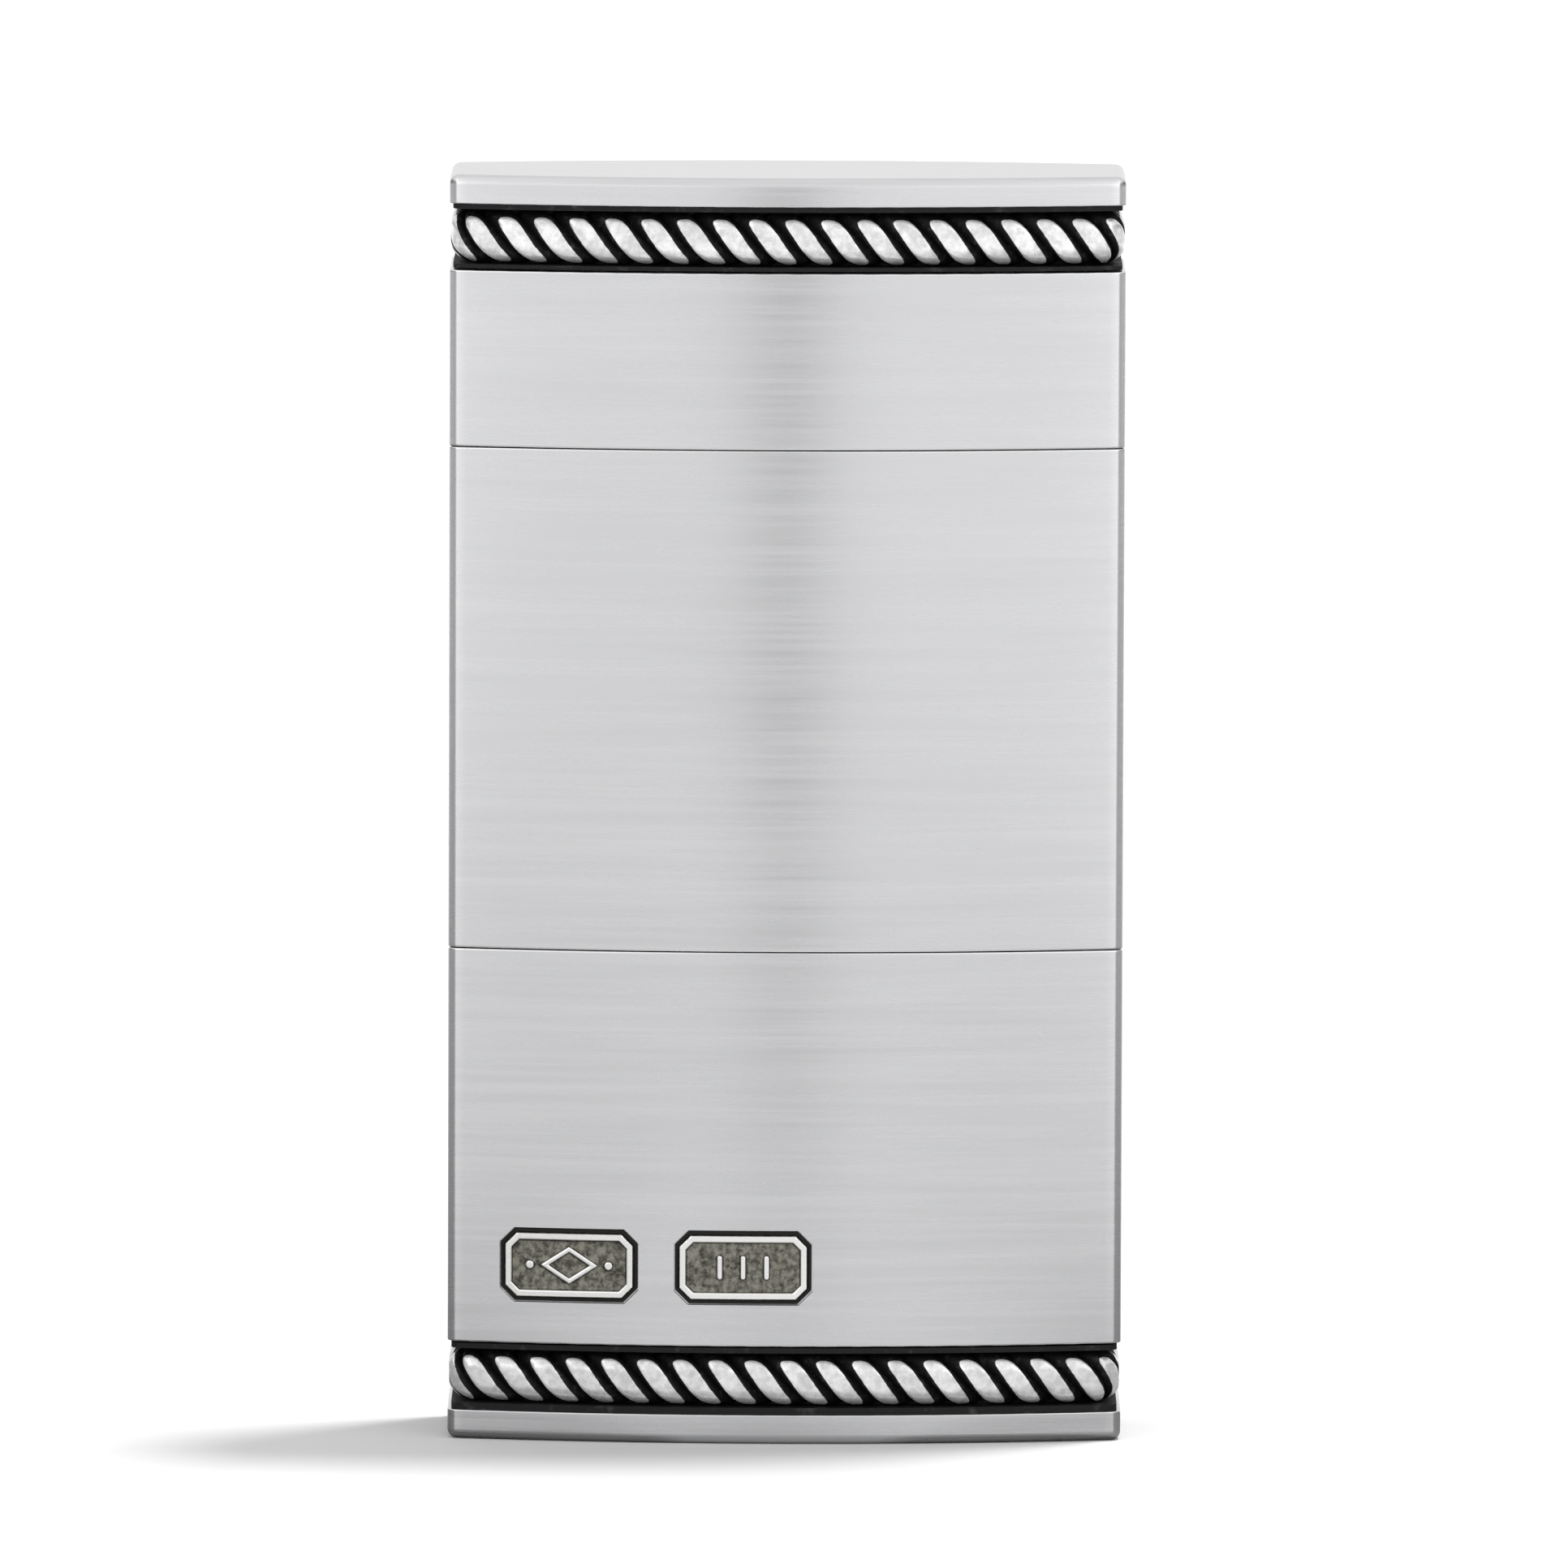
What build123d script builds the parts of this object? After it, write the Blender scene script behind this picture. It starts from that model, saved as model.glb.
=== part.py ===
from build123d import *

import os
from math import sqrt

os.makedirs("parts", exist_ok=True)

# A pocket cryptex without letters, in a slim silver case.
# The case stands on its foot plate. X runs across it, Y from front (-Y) to back, Z is up.
# The origin is the middle of the foot plate's resting face.
# Three lens-shaped rings turn on a slotted spindle, and the head lifts out with the vial
# once the gates of all three rings stand in line with the spindle's slot, on the +X side.

# ---------------------------------------------------------------- driving dimensions (mm)
WIDTH = 36.0
DEPTH = 12.4
FACE_SAG = 1.9  # the front and back faces fall away by this much from middle to corner
CORNER = 0.6  # radius of the upright corners
WALL = 0.8

FOOT_TOP = 1.57
BASE_BAND_TOP = 5.24
LOWER_SEAM = 26.46
UPPER_SEAM = 53.31
HEAD_BAND_BOTTOM = 62.75
HEAD_BAND_TOP = 66.27
HEIGHT = 67.8

SEAM = 0.16  # running gap between two rings
EDGE_BREAK = 0.08  # chamfer along each ring's rims
PLATE_ROUND = 0.5  # rounding of the foot plate's lower and the cap plate's upper edge
FACE_RADIUS = ((WIDTH / 2) ** 2 + FACE_SAG**2) / (2 * FACE_SAG)

CHANNEL_DEPTH = 1.7  # how far the rope channels are cut in
LIP_INSET = 0.2  # a channel's lips lie this far within the case
ROPE_HEIGHT = 2.9
ROPE_INSET = 0.1
ROPE_CORNER = 1.5
ROPE_ROUND = 1.3

PLATE_THICK = 1.5  # end plates of the rings
PLATE_RECESS = 0.32  # how far the end plates lie inside the rims
TOP_RECESS = 0.8  # the same for the topmost plate, which leaves room for the last clip
FIT = 0.02  # clearance between pieces that are soldered or screwed together
RUNNING = 0.05  # radial clearance of turning and sliding fits
AXIAL = 0.06  # end play of a ring between its clips

VIAL_INNER = 3.2
VIAL_OUTER = 3.6
SPINDLE_INNER = VIAL_OUTER + RUNNING
SPINDLE_OUTER = 4.2
BORE = SPINDLE_OUTER + RUNNING
SLOT_WIDTH = 1.6
GATE_WIDTH = 1.8
GATE_REACH = 5.3  # how far from the axis a gate is cut
TOOTH_REACH = 5.1
TOOTH_WIDTH = 1.4
TOOTH_HEIGHT = 1.5
TOOTH_GAP = 0.3  # a tooth's top lies this far under its lock plate

POST_X = 12.0
SCREW_SHANK = 0.5
SCREW_HEAD = 1.0
CONE_ANGLE = 90
CONE_HEIGHT = SCREW_HEAD - SCREW_SHANK
DRIVE_WIDTH = 0.28
DRIVE_DEPTH = 0.25
DETENTS = 8

# Each ring: its lower rim, its upper rim and how far its upper plate lies inside that rim.
RINGS = {
    "lower": (BASE_BAND_TOP + SEAM / 2, LOWER_SEAM - SEAM / 2, PLATE_RECESS),
    "middle": (LOWER_SEAM + SEAM / 2, UPPER_SEAM - SEAM / 2, PLATE_RECESS),
    "upper": (UPPER_SEAM + SEAM / 2, HEAD_BAND_BOTTOM - SEAM / 2, TOP_RECESS),
}


def save(builder, name):
    """Labels a finished piece and writes it as parts/name.step."""
    builder.part.label = name
    export_step(builder.part, f"parts/{name}.step")


def case_section(inset, corner):
    """Outline of the case drawn in by inset: two shallow arcs closed by two flat sides."""
    half_width = WIDTH / 2 - inset
    radius = FACE_RADIUS - inset
    middle_y = DEPTH / 2 - inset
    side_y = middle_y - radius + sqrt(radius**2 - half_width**2)
    with BuildSketch() as outline:
        with BuildLine():
            ThreePointArc((-half_width, -side_y), (0, -middle_y), (half_width, -side_y))
            Line((half_width, -side_y), (half_width, side_y))
            ThreePointArc((half_width, side_y), (0, middle_y), (-half_width, side_y))
            Line((-half_width, side_y), (-half_width, -side_y))
        make_face()
        fillet(outline.vertices(), corner)
    return outline.sketch


CASE = case_section(0, CORNER)
CHANNEL = case_section(CHANNEL_DEPTH, CORNER)
LIPS = case_section(LIP_INSET, CORNER)
PLATE = case_section(WALL + FIT, CORNER)

# ---------------------------------------------------------------- countersunk screw


def countersunk_screw(length):
    """A slotted countersunk screw, its head's flat top at the origin and its shank along -Z."""
    with BuildPart() as screw:
        with BuildSketch(Plane.XZ):
            with BuildLine():
                Polyline(
                    (0, 0),
                    (SCREW_HEAD - FIT, 0),
                    (SCREW_SHANK - FIT, -CONE_HEIGHT),
                    (SCREW_SHANK - FIT, -length),
                    (0, -length),
                    close=True,
                )
            make_face()
        revolve(axis=Axis.Z)
        with BuildSketch(Plane.XY):
            Rectangle(2 * SCREW_HEAD, DRIVE_WIDTH)
        extrude(amount=-DRIVE_DEPTH, mode=Mode.SUBTRACT)
    return screw.part


# ---------------------------------------------------------------- base
SCREW_SINK = 0.1  # screw heads lie this far under the foot plate's resting face
FOOT_SCREW_LENGTH = 3.6
SPINDLE_SCREW_LENGTH = 4.2
PLUG_RADIUS = 3.2
PLUG_BOTTOM = 2.4
BASE_DECK = BASE_BAND_TOP - SEAM / 2

with BuildPart() as foot_plate:
    with BuildSketch():
        add(CASE)
    extrude(amount=FOOT_TOP)
    fillet(foot_plate.edges().group_by(Axis.Z)[0], PLATE_ROUND)
    with Locations(Plane(origin=(0, 0, SCREW_SINK), z_dir=(0, 0, -1))):
        with Locations((-POST_X, 0), (0, 0), (POST_X, 0)):
            CounterSinkHole(SCREW_SHANK, SCREW_HEAD, counter_sink_angle=CONE_ANGLE)
    with BuildSketch():
        with Locations((-POST_X, 0), (0, 0), (POST_X, 0)):
            Circle(SCREW_HEAD)
    extrude(amount=SCREW_SINK, mode=Mode.SUBTRACT)
save(foot_plate, "foot_plate")


def roped_block(bottom, top, middle):
    """A block with two thin lips, and between them the channel for a rope centred on a level."""
    with BuildPart() as block:
        with BuildSketch(Plane.XY.offset(bottom)):
            add(LIPS)
        extrude(amount=top - bottom)
        with BuildSketch(Plane.XY.offset(middle - ROPE_HEIGHT / 2 - FIT)):
            add(CASE)
            add(CHANNEL, mode=Mode.SUBTRACT)
        extrude(amount=ROPE_HEIGHT + 2 * FIT, mode=Mode.SUBTRACT)
    return block.part


BASE_ROPE_LEVEL = (FOOT_TOP + BASE_BAND_TOP) / 2

with BuildPart() as base_core:
    add(roped_block(FOOT_TOP, BASE_DECK, BASE_ROPE_LEVEL))
    with BuildSketch(Plane.XY.offset(PLUG_BOTTOM)):
        Circle(PLUG_RADIUS + FIT)
    extrude(amount=BASE_DECK - PLUG_BOTTOM, mode=Mode.SUBTRACT)
    with BuildSketch(Plane.XY.offset(FOOT_TOP)):
        with Locations((-POST_X, 0), (0, 0), (POST_X, 0)):
            Circle(SCREW_SHANK)
    extrude(amount=FOOT_SCREW_LENGTH - FOOT_TOP + SCREW_SINK, mode=Mode.SUBTRACT)
save(base_core, "base_core")


def rope_ring(middle):
    """A plain half-round band about a channel, as high as the rope, centred on a level."""
    with BuildPart() as ring:
        with BuildSketch(Plane.XY.offset(middle - ROPE_HEIGHT / 2)):
            add(case_section(ROPE_INSET, ROPE_CORNER))
        extrude(amount=ROPE_HEIGHT)
        rims = ring.edges().group_by(Axis.Z)
        fillet(rims[0] + rims[-1], ROPE_ROUND)
        with BuildSketch(Plane.XY.offset(middle - ROPE_HEIGHT)):
            add(case_section(CHANNEL_DEPTH - FIT, CORNER))
        extrude(amount=2 * ROPE_HEIGHT, mode=Mode.SUBTRACT)
    return ring


save(rope_ring(BASE_ROPE_LEVEL), "base_rope")

# The spindle: a plug in the base core, a flange that carries the lower ring, and a slotted tube.
FLANGE_RADIUS = 5.2
FLANGE_TOP = RINGS["lower"][0] + PLATE_RECESS - AXIAL
SPINDLE_FLOOR = 5.9
SPINDLE_TOP = 62.6
SLOT_BOTTOM = 20.0
CLIP_THICK = 2 * PLATE_RECESS + SEAM - 2 * AXIAL
CLIP_GROOVE = 4.0
CLIP_OUTER = 5.15
CLIP_LEVELS = (LOWER_SEAM, UPPER_SEAM, RINGS["upper"][1] - TOP_RECESS + AXIAL + CLIP_THICK / 2)
KEY_WIDTH = 0.8
NOTCH_SIDE = 0.31
LEAF_HEIGHT = 2.0
LEAF_LIFT = 0.3

with BuildPart() as spindle:
    with BuildSketch(Plane.XY.offset(PLUG_BOTTOM + FIT)):
        Circle(PLUG_RADIUS)
    extrude(amount=BASE_DECK - PLUG_BOTTOM)
    with BuildSketch(Plane.XY.offset(BASE_DECK)):
        Circle(FLANGE_RADIUS)
    extrude(amount=FLANGE_TOP - BASE_DECK)
    with BuildSketch(Plane.XY.offset(FLANGE_TOP)):
        Circle(SPINDLE_OUTER)
    extrude(amount=SPINDLE_TOP - FLANGE_TOP)
    with BuildSketch(Plane.XY.offset(SPINDLE_FLOOR)):
        Circle(SPINDLE_INNER)
    extrude(amount=SPINDLE_TOP - SPINDLE_FLOOR, mode=Mode.SUBTRACT)
    with BuildSketch(Plane.XY.offset(SLOT_BOTTOM)):
        with Locations((SPINDLE_OUTER, 0)):
            Rectangle(SPINDLE_OUTER, SLOT_WIDTH)
    extrude(amount=SPINDLE_TOP - SLOT_BOTTOM, mode=Mode.SUBTRACT)
    for level in CLIP_LEVELS:
        with BuildSketch(Plane.XY.offset(level - CLIP_THICK / 2 - FIT)):
            Circle(FLANGE_RADIUS)
            Circle(CLIP_GROOVE - FIT, mode=Mode.SUBTRACT)
            with Locations((-CLIP_GROOVE, 0)):
                Rectangle(1.0, KEY_WIDTH + 2 * FIT)
        extrude(amount=CLIP_THICK + 2 * FIT, mode=Mode.SUBTRACT)
    for bottom, top, recess in RINGS.values():
        with BuildSketch(Plane.XY.offset(bottom + PLATE_RECESS + PLATE_THICK)):
            with PolarLocations(SPINDLE_OUTER, DETENTS):
                Rectangle(NOTCH_SIDE, NOTCH_SIDE, rotation=45)
        extrude(amount=LEAF_HEIGHT + 2 * LEAF_LIFT, mode=Mode.SUBTRACT)
    with BuildSketch(Plane.XY.offset(PLUG_BOTTOM)):
        Circle(SCREW_SHANK)
    extrude(amount=SPINDLE_SCREW_LENGTH - PLUG_BOTTOM + SCREW_SINK, mode=Mode.SUBTRACT)
save(spindle, "spindle")

# Split spring clips in the spindle's grooves keep the rings apart. Each opens over the slot.
with BuildPart() as ring_clips:
    for level in CLIP_LEVELS:
        with BuildSketch(Plane.XY.offset(level - CLIP_THICK / 2)):
            Circle(CLIP_OUTER)
            Circle(CLIP_GROOVE, mode=Mode.SUBTRACT)
            with Locations((-CLIP_GROOVE, 0)):
                Rectangle(0.5, KEY_WIDTH)
            with Locations((CLIP_OUTER, 0)):
                Rectangle(CLIP_OUTER, GATE_WIDTH, mode=Mode.SUBTRACT)
        extrude(amount=CLIP_THICK)
save(ring_clips, "ring_clips")

with BuildPart() as foot_screws:
    with Locations(Plane(origin=(0, 0, SCREW_SINK), z_dir=(0, 0, -1))):
        with Locations((-POST_X, 0), (POST_X, 0)):
            add(countersunk_screw(FOOT_SCREW_LENGTH - 2 * FIT))
save(foot_screws, "foot_screws")

with BuildPart() as spindle_screw:
    with Locations(Plane(origin=(0, 0, SCREW_SINK), z_dir=(0, 0, -1))):
        add(countersunk_screw(SPINDLE_SCREW_LENGTH - 2 * FIT))
save(spindle_screw, "spindle_screw")

# ---------------------------------------------------------------- turning rings
POST_RADIUS = 1.2
POST_SCREW_LENGTH = 3.2
LEAF_BACK = 4.55  # distance of the leaf spring's outer and inner face from the axis
LEAF_FACE = 4.3
LEAF_LENGTH = 8.8
LEAF_BEAD = 0.18
LEAF_MIDDLE = LEAF_LIFT + LEAF_HEIGHT / 2
BLOCK_DEPTH = 2.05
BLOCK_WIDTH = 2.0
BLOCK_HEIGHT = 2.6
LEAF_SCREW_Y = (LEAF_LENGTH - BLOCK_WIDTH) / 2
LEAF_SCREW_LENGTH = 1.9
LEAF_SCREW_SHANK = 0.45
LEAF_SCREW_HEAD = 0.8
LEAF_SCREW_HEAD_HEIGHT = 0.35
LEAF_DRIVE = 0.22

# Two small marks are let into the lower ring's front.
MARK_WIDTH = 7.3
MARK_HEIGHT = 3.9
MARK_CHAMFER = 0.75
MARK_FRAME = 0.45
MARK_FIELD_SINK = 0.22
MARK_LEVEL = 9.5
MARK_PLACES = {"left": -11.5, "right": -2.2}
MARK_THICK = 0.45
MARK_GAP = 0.06


def mark_blank(centre_x, grow, outer_inset, inner_inset):
    """An oblong with cut corners, bent to the front face and reaching between two insets of it.

    It is larger than a mark's own outline by grow on every side.
    """
    with BuildPart() as blank:
        with BuildSketch(Plane.XZ):
            with Locations((centre_x, MARK_LEVEL)):
                oblong = Rectangle(MARK_WIDTH + 2 * grow, MARK_HEIGHT + 2 * grow)
            chamfer(oblong.vertices(), MARK_CHAMFER)
        extrude(amount=DEPTH)
        with BuildSketch():
            add(case_section(outer_inset, CORNER))
            add(case_section(inner_inset, CORNER), mode=Mode.SUBTRACT)
        extrude(amount=HEIGHT, mode=Mode.INTERSECT)
    return blank.part


for ring, (bottom, top, recess) in RINGS.items():
    guide_bottom = bottom + PLATE_RECESS
    guide_top = guide_bottom + PLATE_THICK
    lock_top = top - recess
    lock_bottom = lock_top - PLATE_THICK

    with BuildPart() as shell:
        with BuildSketch(Plane.XY.offset(bottom)):
            add(CASE)
        extrude(amount=top - bottom)
        rims = shell.edges().group_by(Axis.Z)
        chamfer(rims[0] + rims[-1], EDGE_BREAK)
        with BuildSketch(Plane.XY.offset(bottom)):
            add(case_section(WALL, CORNER))
        extrude(amount=top - bottom, mode=Mode.SUBTRACT)
        if ring == "lower":
            for place in MARK_PLACES.values():
                add(mark_blank(place, MARK_GAP, 0, MARK_THICK + FIT), mode=Mode.SUBTRACT)
    save(shell, f"{ring}_ring_shell")

    # The guide plate turns on the spindle and carries the leaf spring's block.
    with BuildPart() as guide_plate:
        with BuildSketch(Plane.XY.offset(guide_bottom)):
            add(PLATE)
        extrude(amount=PLATE_THICK)
        with BuildSketch(Plane.XY.offset(guide_top)):
            with Locations((-LEAF_BACK - BLOCK_DEPTH / 2, LEAF_SCREW_Y)):
                Rectangle(BLOCK_DEPTH, BLOCK_WIDTH)
        extrude(amount=BLOCK_HEIGHT)
        with BuildSketch(Plane.XY.offset(guide_bottom)):
            Circle(BORE)
            with Locations((GATE_REACH / 2, 0)):
                Rectangle(GATE_REACH, GATE_WIDTH)
        extrude(amount=PLATE_THICK, mode=Mode.SUBTRACT)
        with Locations(Plane(origin=(0, 0, guide_bottom), z_dir=(0, 0, -1))):
            with Locations((-POST_X, 0), (POST_X, 0)):
                CounterSinkHole(SCREW_SHANK, SCREW_HEAD, PLATE_THICK, CONE_ANGLE)
        with Locations(Plane(origin=(-LEAF_BACK, LEAF_SCREW_Y, guide_top + LEAF_MIDDLE), z_dir=(1, 0, 0))):
            Hole(LEAF_SCREW_SHANK, depth=LEAF_SCREW_LENGTH)
    save(guide_plate, f"{ring}_guide_plate")

    # The lock plate holds the tooth below it until the plate's gate stands over the slot.
    with BuildPart() as lock_plate:
        with BuildSketch(Plane.XY.offset(lock_bottom)):
            add(PLATE)
            Circle(BORE, mode=Mode.SUBTRACT)
            with Locations((GATE_REACH / 2, 0)):
                Rectangle(GATE_REACH, GATE_WIDTH, mode=Mode.SUBTRACT)
        extrude(amount=PLATE_THICK)
        with Locations(Plane.XY.offset(lock_top)):
            with Locations((-POST_X, 0), (POST_X, 0)):
                CounterSinkHole(SCREW_SHANK, SCREW_HEAD, PLATE_THICK, CONE_ANGLE)
    save(lock_plate, f"{ring}_lock_plate")

    with BuildPart() as posts:
        with BuildSketch(Plane.XY.offset(guide_top)):
            with Locations((-POST_X, 0), (POST_X, 0)):
                Circle(POST_RADIUS)
                Circle(SCREW_SHANK, mode=Mode.SUBTRACT)
        extrude(amount=lock_bottom - guide_top)
    save(posts, f"{ring}_ring_posts")

    with BuildPart() as ring_screws:
        with Locations(Plane(origin=(0, 0, guide_bottom), z_dir=(0, 0, -1))):
            with Locations((-POST_X, 0), (POST_X, 0)):
                add(countersunk_screw(POST_SCREW_LENGTH))
        with Locations(Plane.XY.offset(lock_top)):
            with Locations((-POST_X, 0), (POST_X, 0)):
                add(countersunk_screw(POST_SCREW_LENGTH))
    save(ring_screws, f"{ring}_ring_screws")

    # A leaf spring whose bead clicks into the spindle's notches, eight to a turn.
    with BuildPart() as detent_spring:
        with BuildSketch(Plane.XY.offset(guide_top + LEAF_MIDDLE - LEAF_HEIGHT / 2)):
            with Locations((-(LEAF_BACK + LEAF_FACE) / 2, 0)):
                Rectangle(LEAF_BACK - LEAF_FACE, LEAF_LENGTH)
            with Locations((-LEAF_FACE, 0)):
                Circle(LEAF_BEAD)
        extrude(amount=LEAF_HEIGHT)
        with Locations(Plane(origin=(-LEAF_FACE, LEAF_SCREW_Y, guide_top + LEAF_MIDDLE), z_dir=(1, 0, 0))):
            Hole(LEAF_SCREW_SHANK, depth=LEAF_BACK - LEAF_FACE)
    save(detent_spring, f"{ring}_detent_spring")

    with BuildPart() as spring_screw:
        head_face = Plane(origin=(-LEAF_FACE, LEAF_SCREW_Y, guide_top + LEAF_MIDDLE), z_dir=(1, 0, 0))
        with BuildSketch(head_face):
            Circle(LEAF_SCREW_HEAD)
        extrude(amount=LEAF_SCREW_HEAD_HEIGHT)
        fillet(spring_screw.faces().sort_by(Axis.X)[-1].edges(), LEAF_SCREW_HEAD_HEIGHT / 2)
        with BuildSketch(head_face):
            Circle(LEAF_SCREW_SHANK - FIT)
        extrude(amount=-(LEAF_SCREW_LENGTH - FIT))
        with BuildSketch(head_face.offset(LEAF_SCREW_HEAD_HEIGHT)):
            Rectangle(2 * LEAF_SCREW_HEAD, LEAF_DRIVE)
        extrude(amount=-LEAF_SCREW_HEAD_HEIGHT / 2, mode=Mode.SUBTRACT)
    save(spring_screw, f"{ring}_spring_screw")

for side, place in MARK_PLACES.items():
    with BuildPart() as mark:
        add(mark_blank(place, 0, 0, MARK_THICK))
        add(mark_blank(place, -MARK_FRAME, 0, MARK_FIELD_SINK), mode=Mode.SUBTRACT)
    save(mark, f"{side}_mark_plate")

# ---------------------------------------------------------------- head
HEAD_DECK = HEAD_BAND_BOTTOM + SEAM / 2
SEAT_RADIUS = 4.3
SEAT_BOTTOM = SPINDLE_TOP + AXIAL
SPIGOT_RADIUS = 3.0
SPIGOT_TOP = HEAD_BAND_TOP - 0.4
HEAD_SCREW_LENGTH = HEAD_BAND_TOP - HEAD_DECK + 0.8
VIAL_BOTTOM = 6.5
VIAL_CEILING = 59.5
SEAL_LEVEL = 61.3
SEAL_WIRE = 0.28
SEAL_RADIUS = 3.34
RAIL_WIDTH = 1.5
RAIL_REACH = 3.95
RAIL_MARGIN = 1.0

with BuildPart() as cap_plate:
    with BuildSketch(Plane.XY.offset(HEAD_BAND_TOP)):
        add(CASE)
    extrude(amount=HEIGHT - HEAD_BAND_TOP)
    fillet(cap_plate.edges().group_by(Axis.Z)[-1], PLATE_ROUND)
    with BuildSketch(Plane.XY.offset(HEAD_BAND_TOP)):
        with Locations((-POST_X, 0), (POST_X, 0)):
            Circle(SCREW_SHANK)
    extrude(amount=HEAD_SCREW_LENGTH + HEAD_DECK - HEAD_BAND_TOP, mode=Mode.SUBTRACT)
save(cap_plate, "cap_plate")

HEAD_ROPE_LEVEL = (HEAD_BAND_BOTTOM + HEAD_BAND_TOP) / 2

with BuildPart() as head_core:
    add(roped_block(HEAD_DECK, HEAD_BAND_TOP, HEAD_ROPE_LEVEL))
    with BuildSketch(Plane.XY.offset(SEAT_BOTTOM)):
        Circle(SEAT_RADIUS)
    extrude(amount=HEAD_DECK - SEAT_BOTTOM)
    with BuildSketch(Plane.XY.offset(SEAT_BOTTOM)):
        Circle(SPIGOT_RADIUS + FIT)
    extrude(amount=SPIGOT_TOP + FIT - SEAT_BOTTOM, mode=Mode.SUBTRACT)
    with Locations(Plane(origin=(0, 0, HEAD_DECK), z_dir=(0, 0, -1))):
        with Locations((-POST_X, 0), (POST_X, 0)):
            CounterSinkHole(SCREW_SHANK, SCREW_HEAD, counter_sink_angle=CONE_ANGLE)
save(head_core, "head_core")

save(rope_ring(HEAD_ROPE_LEVEL), "head_rope")

with BuildPart() as head_screws:
    with Locations(Plane(origin=(0, 0, HEAD_DECK), z_dir=(0, 0, -1))):
        with Locations((-POST_X, 0), (POST_X, 0)):
            add(countersunk_screw(HEAD_SCREW_LENGTH - FIT))
save(head_screws, "head_screws")

# The vial: a thin tube for the rolled message, open below, closed and screwed into the head above.
with BuildPart() as vial:
    with BuildSketch(Plane.XY.offset(VIAL_BOTTOM)):
        Circle(VIAL_OUTER)
    extrude(amount=SEAT_BOTTOM - VIAL_BOTTOM)
    with BuildSketch(Plane.XY.offset(SEAT_BOTTOM)):
        Circle(SPIGOT_RADIUS)
    extrude(amount=SPIGOT_TOP - SEAT_BOTTOM)
    with BuildSketch(Plane.XY.offset(VIAL_BOTTOM)):
        Circle(VIAL_INNER)
    extrude(amount=VIAL_CEILING - VIAL_BOTTOM, mode=Mode.SUBTRACT)
    with BuildSketch(Plane.XY.offset(SEAL_LEVEL - SEAL_WIRE - FIT)):
        Circle(VIAL_OUTER + FIT)
        Circle(SEAL_RADIUS - SEAL_WIRE - FIT, mode=Mode.SUBTRACT)
    extrude(amount=2 * (SEAL_WIRE + FIT), mode=Mode.SUBTRACT)
save(vial, "vial")

with BuildPart() as seal_ring:
    with BuildSketch(Plane.XZ):
        with Locations((SEAL_RADIUS, SEAL_LEVEL)):
            Circle(SEAL_WIRE)
    revolve(axis=Axis.Z)
save(seal_ring, "seal_ring")

# The tooth rail: one tooth under each lock plate, on a strip soldered along the vial.
tooth_tops = [top - recess - PLATE_THICK - TOOTH_GAP for bottom, top, recess in RINGS.values()]
with BuildPart() as tooth_rail:
    with BuildSketch(Plane.XY.offset(min(tooth_tops) - TOOTH_HEIGHT - RAIL_MARGIN)):
        with Locations((RAIL_REACH / 2, 0)):
            Rectangle(RAIL_REACH, RAIL_WIDTH)
    extrude(amount=max(tooth_tops) - min(tooth_tops) + TOOTH_HEIGHT + 2 * RAIL_MARGIN)
    for tooth_top in tooth_tops:
        with BuildSketch(Plane.XY.offset(tooth_top - TOOTH_HEIGHT)):
            with Locations((TOOTH_REACH / 2, 0)):
                Rectangle(TOOTH_REACH, TOOTH_WIDTH)
        extrude(amount=TOOTH_HEIGHT)
    with BuildSketch():
        Circle(VIAL_OUTER)
    extrude(amount=HEIGHT, mode=Mode.SUBTRACT)
save(tooth_rail, "tooth_rail")
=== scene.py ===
import bpy
import numpy as np
from mathutils import Matrix, Vector


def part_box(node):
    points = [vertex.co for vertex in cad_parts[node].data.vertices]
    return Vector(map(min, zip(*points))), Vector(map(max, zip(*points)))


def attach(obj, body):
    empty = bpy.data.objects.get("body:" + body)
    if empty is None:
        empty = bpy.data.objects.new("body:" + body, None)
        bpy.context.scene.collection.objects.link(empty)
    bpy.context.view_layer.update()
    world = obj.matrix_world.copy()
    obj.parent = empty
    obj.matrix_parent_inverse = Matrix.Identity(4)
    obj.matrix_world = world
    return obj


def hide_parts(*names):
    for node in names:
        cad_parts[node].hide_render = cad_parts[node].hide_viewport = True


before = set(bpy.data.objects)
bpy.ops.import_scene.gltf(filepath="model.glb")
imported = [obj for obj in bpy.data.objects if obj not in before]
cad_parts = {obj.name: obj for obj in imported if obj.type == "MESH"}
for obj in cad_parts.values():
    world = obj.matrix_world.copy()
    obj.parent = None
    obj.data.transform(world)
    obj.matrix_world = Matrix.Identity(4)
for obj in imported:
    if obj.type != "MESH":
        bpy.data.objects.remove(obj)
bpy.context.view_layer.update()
MM = 0.001

# ---------------------------------------------------------------- foot plate and cap plate
# The two end plates of the case: solid sterling silver with softly rounded outer edges,
# brushed level with the front. Each is screwed to its core from the hidden side.

HALF_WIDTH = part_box("foot_plate")[1][0]
HALF_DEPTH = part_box("middle_ring_shell")[1][1]
FACE_SAG = 1.9 * MM  # how far the front bows out over its width
FACE_RADIUS = (HALF_WIDTH**2 + FACE_SAG**2) / (2 * FACE_SAG)
CORNER = 0.6 * MM
LEAST_CORNER = 0.12 * MM
PLATE_ROUND = 0.5 * MM  # radius of the rim that shows
PLATE_BREAK = 0.06 * MM  # radius of the rim against the core
HAIR = 0.03 * MM  # width of the narrow loops that keep flat faces flat in the shading
SHARP = 40  # degrees between two faces past which their edge stays sharp


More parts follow.
